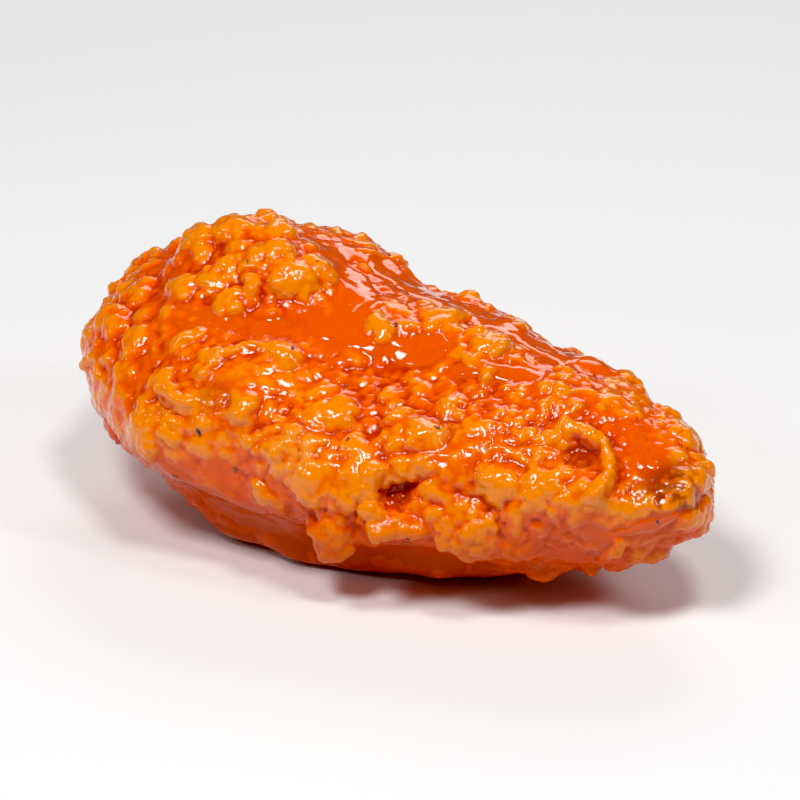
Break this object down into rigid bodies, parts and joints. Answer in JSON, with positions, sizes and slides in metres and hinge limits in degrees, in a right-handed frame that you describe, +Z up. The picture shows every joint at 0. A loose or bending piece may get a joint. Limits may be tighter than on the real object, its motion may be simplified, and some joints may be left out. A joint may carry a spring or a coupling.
{
  "type": "chicken wing",
  "caption": "Breaded and fried chicken wing flat, glossy with hot sauce: a blunt elbow end, a tapered wrist end and a knobbly crust.",
  "frame": {"origin": "middle of the wing's box, on the surface it rests on", "axes": "+X runs along the wing to its narrow wrist end, +Y to the side away from the broad skin side, +Z up"},
  "size_m": [0.088, 0.046, 0.0355],
  "materials": {
    "sauced_crust": "wet, glossy orange-red hot sauce over a golden fried crust"
  },
  "bodies": {
    "root": {"wing": "sauced_crust"}
  },
  "joints": []
}
